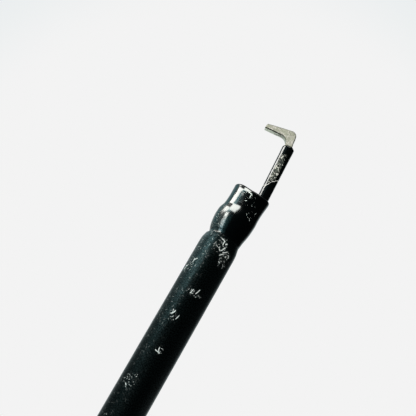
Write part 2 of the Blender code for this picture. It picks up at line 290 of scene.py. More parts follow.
def build_nose_sleeve():
    """The tubing over the nose: rounded rim, relief over the collar, tail tucked under the grip."""
    centre = (NOSE_STATIONS[0][1] - NOSE_RIM_RADIUS, height(NOSE_RIM_RADIUS))
    outer = arc(centre, NOSE_RIM_RADIUS, NOSE_RIM_SWEEP, 0.0, 12)
    for depth in depths_between(NOSE_STATIONS[0][0], NOSE_TAIL_DEPTH, 0.14)[1:]:
        outer.append((station_values(NOSE_STATIONS, depth)[0], height(depth)))
    inner = arc(centre, NOSE_RIM_RADIUS - NOSE_WALL, NOSE_RIM_SWEEP, 0.0, 4)
    for depth in depths_between(NOSE_STATIONS[0][0], NOSE_TAIL_DEPTH, 0.7)[1:]:
        inner.append((station_values(NOSE_STATIONS, depth)[0] - NOSE_WALL, height(depth)))
    profile = outer + inner[::-1]
    vertices = []
    for row, (radius, z) in enumerate(profile):
        depth = HANDLE_LENGTH - z
        shift = station_values(NOSE_STATIONS, depth)[1]
        for angle, x, y in directions_round(SLEEVE_SEGMENTS):
            r = radius + neck_fullness(angle, depth)
            drop = rim_drop(angle, depth)
            if row < len(outer):
                tail = 1.0 - smooth_step(*NOSE_TUCKED_FROM, depth)
                r += tail * nose_relief(angle, depth)
                r += tail * 0.012 * ripple(x * 5, y * 5, z, 0.9, 3.0)
                r += tail * 0.004 * ripple(x * 5, y * 5, z, 3.1, 7.0)
                out, lift = rim_corner(angle, z)
                r += out
                drop -= lift
            vertices.append((shift + r * x, r * y, z - drop))
    item = mesh_piece("nose_sleeve_skin", vertices, ring_faces(len(profile), SLEEVE_SEGMENTS, True))
    face_outward(item)
    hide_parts("nose_sleeve")
    return item


def lip_depth(angle):
    """The sleeve's front edge isn't cut quite square: it reaches further forward on the far right."""
    edge = GRIP_STATIONS[0][0] - 0.10 * math.cos(math.radians(angle - 95))
    return edge + 0.05 * math.sin(math.radians(3 * angle + 20)) - 0.35 * around(angle, -8, 75)


def build_grip_sleeve():
    """The long sleeve: lip over the nose's tail, barrel, rounded butt, bore and the seat of the tail."""
    lip, lip_outer, _ = GRIP_STATIONS[0]
    full = GRIP_STATIONS[-1][0]
    rows = []
    lip_centre = (lip_outer - GRIP_LIP_RADIUS, height(lip + GRIP_LIP_RADIUS))
    for radius, z in arc(lip_centre, GRIP_LIP_RADIUS, math.pi / 2, 0.0, 5):
        rows.append((radius, z, "outer"))
    for depth in depths_between(lip + GRIP_LIP_RADIUS, full, 0.12)[1:]:
        rows.append((station_values(GRIP_STATIONS, depth)[0], height(depth), "outer"))
    butt_centre = (HANDLE_RADIUS - GRIP_BUTT_ROUND, GRIP_BUTT_GAP + GRIP_BUTT_ROUND)
    for depth in depths_between(full, HANDLE_LENGTH - butt_centre[1], 0.5)[1:]:
        rows.append((HANDLE_RADIUS, height(depth), "outer"))
    for radius, z in arc(butt_centre, GRIP_BUTT_ROUND, 0.0, -math.pi / 2, 8)[1:]:
        rows.append((radius, z, "outer"))
    rows.append((GRIP_BORE, GRIP_BUTT_GAP, "bore"))
    rows.append((GRIP_BORE, height(GRIP_STEP_DEPTH), "bore"))
    for depth in depths_between(lip, NOSE_TAIL_DEPTH + 2 * FIT_GAP, 0.4)[::-1]:
        rows.append((station_values(NOSE_STATIONS, depth)[0] + FIT_GAP, height(depth), "seat"))
    vertices = []
    for radius, z, part in rows:
        depth = HANDLE_LENGTH - z
        for angle, x, y in directions_round(SLEEVE_SEGMENTS):
            r = radius
            place = z
            if part == "outer":
                shift = station_values(GRIP_STATIONS, depth)[1]
                near_lip = 1.0 - smooth_step(lip, lip + 2.2, depth)
                r -= 0.17 * near_lip * (1.0 - around(angle, -85, 75))
                full_side = around(angle, *NECK_FULL_SIDE)
                r += NECK_FULLNESS * full_side * (1.0 - smooth_step(lip, lip + 3.6, depth))
                r += 0.010 * ripple(x * 5, y * 5, z * 0.35, 0.8, 1.0)
                r += 0.006 * ripple(x * 5, y * 5, z, 1.7, 5.0)
            else:
                shift = station_values(NOSE_STATIONS, depth)[1]
                r += neck_fullness(angle, depth) if part == "seat" else 0.0
            place -= (lip_depth(angle) - lip) * (1.0 - smooth_step(lip, lip + 1.5, depth))
            vertices.append((shift + r * x, r * y, place))
    item = mesh_piece("grip_sleeve_skin", vertices, ring_faces(len(rows), SLEEVE_SEGMENTS, True))
    face_outward(item)
    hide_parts("grip_sleeve")
    return item


def lean_frame():
    """Place and turn of the shank: its local Z runs up the leaning bar."""
    mouth = Vector((BAR_OFFSET, 0.0, height(BAR_MOUTH_DEPTH)))
    return mouth, Matrix.Rotation(-BAR_LEAN, 3, "Y")


def tear_height(angle):
    """Height on the shank of the torn edge, by direction round the shank: it curls down on the left."""
    off = (angle + 180.0) % 360.0 - 180.0
    rise = TEAR_RISE * smooth_step(5.0, 65.0, off) - TEAR_DIP * smooth_step(20.0, -38.0, off)
    return TEAR_HEIGHT + rise - TEAR_BACK_DROP * smooth_step(90.0, 160.0, abs(off))


def build_shank_sleeve():
    """The thin sleeve on the leaning bar: torn edge, worn front, chamfered top."""
    low, high = SHANK_SLEEVE_RADII
    bevel_width, bevel_height = SHANK_SLEEVE_CHAMFER
    length = SHANK_SLEEVE_LENGTH
    bore = BAR_RADIUS + FIT_GAP
    outer = []
    for step in depths_between(SHANK_SLEEVE_BASE, length - bevel_height, 0.11):
        share = (step - SHANK_SLEEVE_BASE) / (length - bevel_height - SHANK_SLEEVE_BASE)
        outer.append((low + (high - low) * share, step))
    for i in range(1, 6):
        share = i / 5
        outer.append((high - bevel_width * share**1.25, length - bevel_height * (1 - share)))
    profile = outer + [(bore, length), (bore, SHANK_SLEEVE_BASE)]
    mouth, turn_frame = lean_frame()
    vertices = []
    for row, (radius, along) in enumerate(profile):
        for angle, x, y in directions_round(SHANK_SEGMENTS):
            r = radius
            if row < len(outer):
                edge = tear_height(angle)
                past_tear = smooth_step(edge - 0.12, edge + 0.02, along)
                r -= 0.02 * past_tear * (1 - smooth_step(14.0, 15.0, along))
                worn = smooth_step(edge, edge + 0.8, along) * (1 - smooth_step(14.6, 15.6, along))
                r += 0.016 * worn * ripple(x * 1.5, y * 1.5, along, 2.6, 2.0)
                r += 0.010 * worn * ripple(x * 1.5, y * 1.5, along, 5.5, 9.0)
            place = mouth + turn_frame @ Vector((r * x, r * y, along))
            vertices.append(tuple(place))
    item = mesh_piece("shank_sleeve_skin", vertices, ring_faces(len(profile), SHANK_SEGMENTS, True), 50.0)
    face_outward(item)
    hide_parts("shank_sleeve")
    return item


# ---------------------------------------------------------------- hook

def hook_sides():
    """Pairs of (inner, outer) points from the hook's neck to its tip, as (x, height over the nose)."""
    inner_centre = (NECK_LEFT - INNER_FILLET, ARM_UNDERSIDE - INNER_FILLET)
    outer_centre = (NECK_RIGHT_TOP - OUTER_FILLET, ARM_TOP - OUTER_FILLET)
    slope = math.atan2(ARM_TOP - ARM_UNDERSIDE - TIP_HEIGHT, outer_centre[0] - TIP_TOP_REACH)
    pairs = []
    for i in range(8):
        share = i / 8
        pairs.append(
            (
                (NECK_LEFT, NECK_BOTTOM + (inner_centre[1] - NECK_BOTTOM) * share),
                (
                    NECK_RIGHT - (NECK_RIGHT - NECK_RIGHT_TOP) * share * share * 0.6,
                    NECK_BOTTOM + (outer_centre[1] - NECK_RISE - NECK_BOTTOM) * share,
                ),
            )
        )
    inner = arc(inner_centre, INNER_FILLET, 0.0, math.pi / 2, 24)
    rise = [(NECK_RIGHT_TOP + 0.1 * (1 - i / 6), outer_centre[1] - NECK_RISE * (1 - i / 6)) for i in range(6)]
    turn = arc(outer_centre, OUTER_FILLET, 0.0, math.pi / 2 + slope, 14)
    after = []
    top_start = turn[-1]
    for i in range(1, 6):
        share = i / 5
        x = top_start[0] + (BEND_END - top_start[0]) * share
        after.append((x, top_start[1] - math.tan(slope) * (top_start[0] - x)))
    outer = resampled(rise + turn[:-1] + after, len(inner))
    pairs += list(zip(inner, outer))
    count = 40
    last_inner, last_outer = pairs[-1]
    for i in range(1, count + 1):
        share = i / count
        inner_point = (
            last_inner[0] + (TIP_REACH - last_inner[0]) * share,
            ARM_UNDERSIDE - TIP_DROP * share,
        )
        outer_x = last_outer[0] + (TIP_TOP_REACH - last_outer[0]) * share
        outer_z = last_outer[1] + (ARM_UNDERSIDE + TIP_HEIGHT - last_outer[1]) * share
        pairs.append((inner_point, (outer_x, outer_z)))
    return pairs


def resampled(points, count):
    """The same path with evenly spaced points."""
    lengths = [0.0]
    for a, b in zip(points, points[1:]):
        lengths.append(lengths[-1] + math.dist(a, b))
    result = []
    for i in range(count):
        goal = lengths[-1] * i / (count - 1)
        j = max(k for k in range(len(points) - 1) if lengths[k] <= goal + 1e-9)
        span = lengths[j + 1] - lengths[j]
        share = (goal - lengths[j]) / span if span else 0.0
        result.append(tuple(points[j][n] + (points[j + 1][n] - points[j][n]) * share for n in (0, 1)))
    return result


def rounded_section(half_width, half_depth, corner, per_corner=5, per_side=6):
    """Points round a rectangle with eased corners, as (across, along Y)."""
    points = []
    for quadrant, (sx, sy) in enumerate(((1, 1), (-1, 1), (-1, -1), (1, -1))):
        centre = (sx * (half_width - corner), sy * (half_depth - corner))
        start = quadrant * math.pi / 2
        points += arc(centre, corner, start, start + math.pi / 2, per_corner)
        next_sx, next_sy = ((-1, 1), (-1, -1), (1, -1), (1, 1))[quadrant]
        far = (next_sx * (half_width - corner), next_sy * (half_depth - corner))
        a = points[-1]
        b_start = (quadrant + 1) * math.pi / 2
        b = (far[0] + corner * math.cos(b_start), far[1] + corner * math.sin(b_start))
        for i in range(1, per_side):
            share = i / per_side
            points.append((a[0] + (b[0] - a[0]) * share, a[1] + (b[1] - a[1]) * share))
    return points


def build_hook():
    """Tang, shank and hook as one closed skin of rings: round below the sleeve's top, flat sided above."""
    template = rounded_section(1.0, 1.0, 0.2)
    sides = len(template)
    rings = []
    mouth, turn_frame = lean_frame()
    stops = [(-TANG_DEPTH + BAR_MOUTH_DEPTH, False), (-0.3, False), (0.1, True)]
    stops += [(step, True) for step in depths_between(1.0, 15.4, 1.2)]
    for along, leaning in stops:
        ring = []
        for across, deep in template:
            angle = math.atan2(deep, across)
            local = Vector((BAR_RADIUS * math.cos(angle), BAR_RADIUS * math.sin(angle), along))
            ring.append(tuple(mouth + (turn_frame @ local if leaning else local)))
        rings.append(ring)
    pairs = hook_sides()
    for index, (inner, outer) in enumerate(pairs):
        middle = ((inner[0] + outer[0]) / 2, (inner[1] + outer[1]) / 2)
        reach = (outer[0] - inner[0], outer[1] - inner[1])
        width = math.hypot(*reach)
        direction = (reach[0] / width, reach[1] / width)
        tip_share = smooth_step(len(pairs) - 14, len(pairs) - 1, index)
        depth = HOOK_DEPTH - 0.18 * tip_share
        corner = min(0.26, width * 0.3)
        ring = []
        for across, deep in rounded_section(width / 2, depth / 2, corner):
            x = middle[0] + direction[0] * across
            z = HANDLE_LENGTH + middle[1] + direction[1] * across
            grain = 0.008 * ripple(x, deep, z, 2.4, 4.0) + 0.005 * ripple(x, deep, z, 6.0, 8.0)
            x += direction[0] * grain * (1 if across > 0 else -1)
            z += direction[1] * grain * (1 if across > 0 else -1)
            ring.append((x, deep + (grain if deep > 0 else -grain), z))
        rings.append(ring)
    blunt = rings[-1]
    centre = [sum(point[n] for point in blunt) / sides for n in range(3)]
    for scale, push in ((0.93, -0.07), (0.8, -0.11)):
        shift = (push, 0.0, 0.0)
        rings.append(
            [tuple(c + (p - c) * scale + d for c, p, d in zip(centre, point, shift)) for point in blunt]
        )
    vertices = [point for ring in rings for point in ring]
    faces = ring_faces(len(rings), sides, False)
    faces.append(tuple(range(sides)))
    faces.append(tuple((len(rings) - 1) * sides + k for k in range(sides)))
    item = mesh_piece("hook_bar_skin", vertices, faces, 28.0)
    face_outward(item)
    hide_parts("hook_bar")
    return item


# ---------------------------------------------------------------- material helpers

class Graph:
    """A node tree, with short ways to add what the looks are made of."""

    def __init__(self, tree):
        self.tree = tree

    def node(self, kind):
        return self.tree.nodes.new("ShaderNode" + kind)

    def feed(self, socket, value):
        if isinstance(value, bpy.types.NodeSocket):
            self.tree.links.new(value, socket)
        elif isinstance(value, (tuple, list)) and len(value) == 3 and socket.type == "RGBA":
            socket.default_value = (*value, 1.0)
        else:
            socket.default_value = value

    def math(self, operation, a, b=0.0, c=0.0, clamp=False):
        node = self.node("Math")
        node.operation = operation
        node.use_clamp = clamp
        for socket, value in zip(node.inputs, (a, b, c)):
            self.feed(socket, value)
        return node.outputs[0]

    def times(self, a, b):
        return self.math("MULTIPLY", a, b)

    def times_plus(self, a, b, c):
        """a times b, plus c."""
        return self.math("MULTIPLY_ADD", a, b, c)

    def plus(self, a, b, clamp=False):
        return self.math("ADD", a, b, clamp=clamp)

    def minus(self, a, b):
        return self.math("SUBTRACT", a, b)

    def absolute(self, a):
        return self.math("ABSOLUTE", a)

    def vector(self, operation, a, b=(0.0, 0.0, 0.0)):
        node = self.node("VectorMath")
        node.operation = operation
        self.feed(node.inputs[0], a)
        self.feed(node.inputs[1], b)
        return node.outputs[0]

    def measure(self, operation, a, b):
        """A vector operation whose result is a number."""
        return self.vector(operation, a, b).node.outputs["Value"]

    def split(self, vector):
        node = self.node("SeparateXYZ")
        self.feed(node.inputs[0], vector)
        return node.outputs

    def combine(self, x, y, z=0.0):
        node = self.node("CombineXYZ")
        for socket, value in zip(node.inputs, (x, y, z)):
            self.feed(socket, value)
        return node.outputs[0]

    def noise(self, where, scale, detail=2.0, roughness=0.5, distortion=0.0):
        node = self.node("TexNoise")
        self.feed(node.inputs["Vector"], where)
        node.inputs["Scale"].default_value = scale
        node.inputs["Detail"].default_value = detail
        node.inputs["Roughness"].default_value = roughness
        node.inputs["Distortion"].default_value = distortion
        return node.outputs[0]

    def cells(self, where, scale, randomness=1.0):
        """Distance to the nearest cell centre, and the cell's own random value."""
        node = self.node("TexVoronoi")
        self.feed(node.inputs["Vector"], where)
        node.inputs["Scale"].default_value = scale
        node.inputs["Randomness"].default_value = randomness
        split = self.node("SeparateColor")
        self.tree.links.new(node.outputs["Color"], split.inputs[0])
        return node.outputs["Distance"], split.outputs[0], split.outputs[1]

    def ramp(self, value, low, high, start=0.0, end=1.0):
        """Smooth step of a value from low..high to start..end."""
        node = self.node("MapRange")
        node.interpolation_type = "SMOOTHSTEP"
        for socket, item in zip(node.inputs[:5], (value, low, high, start, end)):
            self.feed(socket, item)
        return node.outputs[0]

    def mix(self, share, a, b):
        node = self.node("Mix")
        node.data_type = "RGBA"
        self.feed(node.inputs[0], share)
        self.feed(node.inputs[6], a)
        self.feed(node.inputs[7], b)
        return node.outputs[2]

    def blend(self, share, a, b):
        node = self.node("Mix")
        node.data_type = "FLOAT"
        self.feed(node.inputs[0], share)
        self.feed(node.inputs[2], a)
        self.feed(node.inputs[3], b)
        return node.outputs[0]

    def bump(self, level, strength, distance_mm):
        node = self.node("Bump")
        node.inputs["Strength"].default_value = strength
        node.inputs["Distance"].default_value = distance_mm * MM
        self.feed(node.inputs["Height"], level)
        return node.outputs[0]

    def most(self, *masks):
        total = masks[0]
        for mask in masks[1:]:
            total = self.math("MAXIMUM", total, mask)
        return total

    def scuff(self, across, along, centre, angle, length, width, bend=0.0):
        """Mask of one short curved mark on a surface unrolled into (across, along), in millimetres."""
        dx = self.minus(across, centre[0])
        dy = self.minus(along, centre[1])
        cosine, sine = math.cos(math.radians(angle)), math.sin(math.radians(angle))
        run = self.times_plus(dx, cosine, self.times(dy, sine))
        side = self.times_plus(dy, cosine, self.times(dx, -sine))
        curve = self.times(self.times(run, run), bend)
        side = self.absolute(self.minus(side, curve))
        line = self.ramp(side, width / 2, width * 0.2)
        ends = self.ramp(self.absolute(run), length / 2, length * 0.35)
        return self.times(line, ends)


class Shader(Graph):
    """A Principled material whose inputs are fed by small procedural graphs."""

    def __init__(self, name):
        self.material = bpy.data.materials.new(name)
        self.material.use_nodes = True
        super().__init__(self.material.node_tree)
        self.surface = self.tree.nodes["Principled BSDF"]
        coordinates = self.node("TexCoord")
        self.place = self.vector("MULTIPLY", coordinates.outputs["Object"], (1 / MM, 1 / MM, 1 / MM))
        self.x, self.y, self.z = self.split(self.place)

    def finish(self, **inputs):
        for name, value in inputs.items():
            self.feed(self.surface.inputs[name.replace("_", " ")], value)
        return self.material


def unrolled(shader, radius):
    """Distance round the handle from the side facing -Y, in millimetres, positive towards +X."""
    angle = shader.math("ARCTAN2", shader.x, shader.times(shader.y, -1.0))
    return shader.times(angle, radius)


def specks(shader, across, along, scale, least, size, seed):
    """Small dust specks and chips: a few of the cells, each with its own size."""
    where = shader.combine(shader.plus(across, seed), shader.times(along, 0.8), seed)
    wobble = shader.noise(where, scale * 2.3, 2.0)
    where = shader.vector("ADD", where, shader.combine(wobble, shader.times(wobble, -1.0)))
    distance, pick, grade = shader.cells(where, scale)
    chosen = shader.math("GREATER_THAN", pick, least)
    limit = shader.times(shader.times_plus(grade, 0.9, 0.25), size * scale)
    dot = shader.ramp(distance, limit, shader.times(limit, 0.45))
    return shader.times(dot, chosen)


def dashes(shader, across, along, scale, least, length, width, seed):
    """Short scratches: a few of the cells hold one, each turned its own way."""
    node = shader.node("TexVoronoi")
    node.voronoi_dimensions = "2D"
    where = shader.combine(shader.plus(across, seed), along)
    shader.feed(node.inputs["Vector"], where)
    node.inputs["Scale"].default_value = scale
    split = shader.node("SeparateColor")
    shader.tree.links.new(node.outputs["Color"], split.inputs[0])
    offset = shader.split(shader.vector("SUBTRACT", where, node.outputs["Position"]))
    turn = shader.times(split.outputs[1], math.pi)
    cosine, sine = shader.math("COSINE", turn), shader.math("SINE", turn)
    dx, dy = offset[0], offset[1]
    run = shader.times_plus(dx, cosine, shader.times(dy, sine))
    side = shader.minus(shader.times(dy, cosine), shader.times(dx, sine))
    bent = shader.absolute(shader.minus(side, shader.times(run, run)))
    line = shader.ramp(bent, width / 2, width * 0.2)
    ends = shader.ramp(shader.absolute(run), length / 2, length * 0.3)
    chosen = shader.math("GREATER_THAN", split.outputs[0], least)
    return shader.times(shader.times(line, ends), chosen)


def patch_of(shader, across, along, centre, reach):
    """1 inside a soft oval on the unrolled surface."""
    dx = shader.times(shader.minus(across, centre[0]), 1 / reach[0])
    dy = shader.times(shader.minus(along, centre[1]), 1 / reach[1])
    span = shader.times_plus(dx, dx, shader.times(dy, dy))
    return shader.ramp(span, 1.7, 0.2)


def hairs(shader, across, along, angle, scale, width, seed):
    """Fine straight scratches along one direction."""
    cosine, sine = math.cos(math.radians(angle)), math.sin(math.radians(angle))
    run = shader.times_plus(across, cosine, shader.times(along, sine))
    side = shader.times_plus(along, cosine, shader.times(across, -sine))
    where = shader.combine(shader.times(run, 0.22), side, seed)
    level = shader.noise(where, scale, 1.0, 0.4, 0.15)
    line = shader.absolute(shader.minus(level, 0.5))
    return shader.ramp(line, width, width * 0.3)


# ---------------------------------------------------------------- materials

# Wear: first depth, last depth, number of places, scratches in the first place.
HANDLE_WEAR = (17.0, 66.0, 8, 6)
NOSE_WEAR = (3.0, 12.0, 3, 3)
WEAR_THINNING = 1.5
WEAR_SEED = 5
WORN_SIDE = (-50.0, 45.0)
WORN_REACHES = ((0.9, 2.0), (0.7, 2.4))
SCRATCH_SCATTER = 0.8
SCRATCH_RUN = 65.0
SCRATCH_RUN_SPREAD = 35.0
# Length, width and bend of a scratch.
SCRATCH_SIZES = ((0.5, 1.7), (0.20, 0.32), (-0.2, 0.4))


def on_unrolled(depth, angle):
    """Place on the unrolled handle of a depth and a number of degrees round from -Y."""
    return math.radians(angle) * HANDLE_RADIUS, height(depth)


def worn_places(first, last, count, scratches):
    """Rubbed places on the front, crowded and well scratched at the first depth, sparse at the last."""
    chance = random.Random(WEAR_SEED)
    places = []
    for step in range(count):
        share = step / (count - 1)
        spot = on_unrolled(first + (last - first) * share**WEAR_THINNING, chance.uniform(*WORN_SIDE))
        reach = [chance.uniform(*span) for span in WORN_REACHES]
        places.append((spot, reach, round(scratches * (1.0 - share))))
    return places


def scattered_scratches(places):
    """Short scratches strewn over worn places: each one's centre, direction, length, width and bend."""
    chance = random.Random(WEAR_SEED)
    marks = []
    for spot, reach, count in places:
        for _ in range(count):
            centre = [
                middle + chance.uniform(-SCRATCH_SCATTER, SCRATCH_SCATTER) * half
                for middle, half in zip(spot, reach)
            ]
            turn = chance.gauss(SCRATCH_RUN, SCRATCH_RUN_SPREAD)
            marks.append((centre, turn, *(chance.uniform(*span) for span in SCRATCH_SIZES)))
    return marks


def worn_patches(shader, across, along, places):
    """1 inside any of the worn places on the unrolled surface."""
    return shader.most(*(patch_of(shader, across, along, spot, reach) for spot, reach, _ in places))


def satin_sleeve_material():
    """Satin black tubing: dust and chips on the left, rubbed and scratched places down the front."""
    s = Shader("satin_sleeve")
    across = unrolled(s, HANDLE_RADIUS)
    along = s.z
    cloud = s.noise(s.combine(across, s.times(along, 0.5), 3.0), 0.22, 3.0, 0.6)
    patch = s.noise(s.combine(across, along, 11.0), 0.35, 2.0, 0.55)
    near_tip = s.ramp(along, 62.0, 92.0, 0.25, 1.0)
    left = s.ramp(across, 0.8, -2.4)
    busy = s.times(s.ramp(patch, 0.46, 0.66), s.times(near_tip, left))
    dust = specks(s, across, along, 2.2, 0.60, 0.14, 4.0)
    grit = specks(s, across, along, 4.6, 0.55, 0.09, 9.0)
    chips = specks(s, across, along, 1.0, 0.78, 0.16, 17.0)
    worn = worn_places(*HANDLE_WEAR)
    marks = scattered_scratches(worn)
    scuffed = s.most(*(s.scuff(across, along, *mark) for mark in marks))
    ragged = s.ramp(s.noise(s.combine(across, along, 5.0), 5.0, 2.0), 0.3, 0.5, 0.45, 1.0)
    scuffed = s.times(scuffed, ragged)
    rubbed = worn_patches(s, across, along, worn)
    nicks = s.most(
        dashes(s, across, along, 1.3, 0.74, 0.60, 0.13, 3.0),
        dashes(s, across, along, 2.1, 0.80, 0.30, 0.15, 13.0),
    )
    nicks = s.times(s.times(nicks, s.ramp(rubbed, 0.15, 0.6)), ragged)
    strays = s.times(dashes(s, across, along, 0.8, 0.55, 0.7, 0.18, 23.0), s.times(near_tip, left))
    spotted = s.most(
        s.times(dust, s.most(busy, s.times(rubbed, 0.25))),
        s.times(grit, s.times(s.most(busy, s.times(rubbed, 0.4)), 0.5)),
        s.times(chips, s.times(near_tip, s.times(left, 0.9))),
        s.times(strays, 0.55),
    )
    pale = s.most(s.times(spotted, 0.75), s.times(nicks, 0.75), scuffed)
    base = s.mix(cloud, (0.0001, 0.0003, 0.0003), (0.0004, 0.0009, 0.0009))
    colour = s.mix(pale, base, (0.95, 0.97, 0.93))
    grain = s.noise(s.combine(across, along, 1.0), 3.4, 3.0, 0.6)
    mottle = s.noise(s.combine(across, along, 8.0), 0.9, 3.0, 0.65)
    rough = s.times_plus(mottle, 0.12, 0.30)
    rough = s.plus(rough, s.times(pale, 0.3), clamp=True)
    level = s.times_plus(grain, 0.30, s.times(mottle, 0.6))
    level = s.minus(level, s.times(pale, 0.5))
    tooth = s.ramp(s.noise(s.combine(across, along, 27.0), 3.0, 4.0, 0.8), 0.39, 0.64, 0.14, 1.0)
    tooth = s.times(tooth, s.ramp(along, 50.0, 88.0, 0.78, 1.0))
    return s.finish(
        Base_Color=colour,
        Roughness=rough,
        Specular_IOR_Level=tooth,
        Specular_Tint=(0.62, 0.97, 0.97),
        Normal=s.bump(level, 0.6, 0.03),
    )


def glossy_nose_material():
    """Glossy black tubing: a dusty swelling and a few scratched places."""
    s = Shader("glossy_sleeve")
    across = unrolled(s, HANDLE_RADIUS)
    along = s.z
    depth = s.minus(HANDLE_LENGTH, along)
    swelling = s.ramp(depth, 5.2, 7.6)
    left = s.ramp(across, -1.6, -3.8)
    dusty = s.times(swelling, left)
    patch = s.noise(s.combine(across, along, 21.0), 0.8, 3.0, 0.6)
    dust = s.times(specks(s, across, along, 2.6, 0.80, 0.12, 3.0), s.times(dusty, 0.8))
    grit = s.times(specks(s, across, along, 5.0, 0.62, 0.08, 13.0), s.times(dusty, 0.12))
    worn = worn_places(*NOSE_WEAR)
    spot = worn_patches(s, across, along, worn)
    stray = s.times(specks(s, across, along, 2.4, 0.42, 0.11, 31.0), s.ramp(spot, 0.1, 0.6))
    fine = s.times(s.most(
            hairs(s, across, along, 70, 1.6, 0.012, 4.0),
            hairs(s, across, along, 20, 1.9, 0.010, 9.0),
        ),
        s.times(s.ramp(patch, 0.45, 0.6), s.times(dusty, 0.14)),
    )
    marks = [s.scuff(across, along, *mark) for mark in scattered_scratches(worn)]
    ragged = s.ramp(s.noise(s.combine(across, along, 5.0), 6.0, 2.0), 0.3, 0.55, 0.3, 1.0)
    pale = s.most(dust, grit, s.times(stray, 0.8), fine, s.times(s.most(*marks), ragged))
    film = s.noise(s.combine(across, along, 2.0), 0.7, 2.0)
    base = s.mix(film, (0.0001, 0.0004, 0.0005), (0.0003, 0.0008, 0.0009))
    colour = s.mix(pale, base, (0.48, 0.54, 0.51))
    smear = s.noise(s.combine(across, s.times(along, 0.5), 7.0), 1.3, 3.0, 0.6)
    rough = s.times_plus(smear, 0.08, 0.12)
    rough = s.plus(rough, s.times(dusty, 0.10))
    rough = s.plus(rough, s.times(pale, 0.4), clamp=True)
    wave = s.noise(s.combine(across, along, 14.0), 1.1, 3.0, 0.55)
    grain = s.noise(s.combine(across, along, 1.0), 5.0, 2.0)
    level = s.times_plus(wave, 0.8, s.times(grain, s.times_plus(dusty, 0.4, 0.05)))
    level = s.minus(level, s.times(pale, 0.4))
    tooth = s.ramp(s.noise(s.combine(across, along, 27.0), 2.6, 4.0, 0.8), 0.38, 0.62, 0.22, 0.62)
    return s.finish(
        Base_Color=colour,
        Roughness=rough,
        Specular_IOR_Level=s.blend(s.ramp(depth, 7.4, 9.5), 0.5, tooth),
        Specular_Tint=(0.90, 0.99, 1.0),
        Normal=s.bump(level, 0.5, 0.03),
    )


def worn_shank_material():
    """Glossy black sleeve, torn low down and worn to bare metal on its front."""
    s = Shader("glossy_sleeve_worn")
    mouth, _ = lean_frame()
    rise = s.minus(s.z, mouth.z)
    side = s.minus(s.x, s.times_plus(rise, -math.tan(BAR_LEAN), mouth.x))
    angle = s.math("ARCTAN2", side, s.times(s.y, -1.0))
    across = s.times(angle, SHANK_SLEEVE_RADII[0])
    degrees = s.times(angle, 180 / math.pi)
    risen = s.ramp(degrees, 5.0, 65.0, TEAR_HEIGHT, TEAR_HEIGHT + TEAR_RISE)
    tear = s.minus(risen, s.ramp(degrees, 20.0, -38.0, 0.0, TEAR_DIP))
    tear = s.minus(tear, s.ramp(s.absolute(degrees), 90.0, 160.0, 0.0, TEAR_BACK_DROP))
    wobble = s.noise(s.combine(across, rise, 2.0), 2.0, 2.0)
    tear_line = s.absolute(s.minus(rise, s.times_plus(wobble, 0.35, tear)))
    breaks = s.ramp(s.noise(s.combine(across, rise, 9.0), 1.7), 0.35, 0.5, 0.45, 1.0)
    tear_mask = s.times(s.ramp(tear_line, 0.15, 0.06), breaks)
    above = s.ramp(s.minus(rise, tear), 0.5, 1.0)
    below_top = s.ramp(rise, 14.2, 12.6)
    front = s.ramp(s.absolute(s.minus(degrees, -2.0)), 35.0, 24.0)
    worn_zone = s.times(s.times(above, below_top), front)
    where = s.combine(across, rise, 6.0)
    blotch = s.noise(where, 0.95, 4.0, 0.65, 0.4)
    flake = s.noise(s.vector("ADD", where, (7.0, 3.0, 1.0)), 1.6, 2.0, 0.5, 0.6)
    bare = s.times(s.ramp(blotch, 0.44, 0.49), worn_zone)
    chips = s.times(s.ramp(flake, 0.57, 0.61), s.times(worn_zone, s.ramp(blotch, 0.36, 0.46)))
    dots = s.times(specks(s, across, rise, 2.3, 0.5, 0.18, 5.0), worn_zone)
    gloss = s.noise(where, 1.0, 2.0)
    base = s.mix(gloss, (0.0004, 0.0010, 0.0010), (0.0010, 0.0022, 0.0022))
    tone = s.mix(s.ramp(flake, 0.42, 0.52), (0.012, 0.020, 0.017), (0.135, 0.160, 0.125))
    colour = s.mix(s.times(bare, 0.95), base, tone)
    colour = s.mix(s.most(chips, dots), colour, (0.90, 0.92, 0.84))
    colour = s.mix(tear_mask, colour, (0.95, 0.97, 0.92))
    marked = s.most(bare, chips, dots, tear_mask)
    rough = s.blend(marked, s.times_plus(gloss, 0.06, 0.12), 0.55)
    level = s.minus(s.times(gloss, 0.3), s.times(marked, s.times_plus(flake, 0.8, 0.4)))
    return s.finish(
        Base_Color=colour,
        Roughness=rough,
        Specular_IOR_Level=0.5,
        Specular_Tint=(0.90, 0.98, 1.0),
        Normal=s.bump(level, 0.7, 0.04),
    )


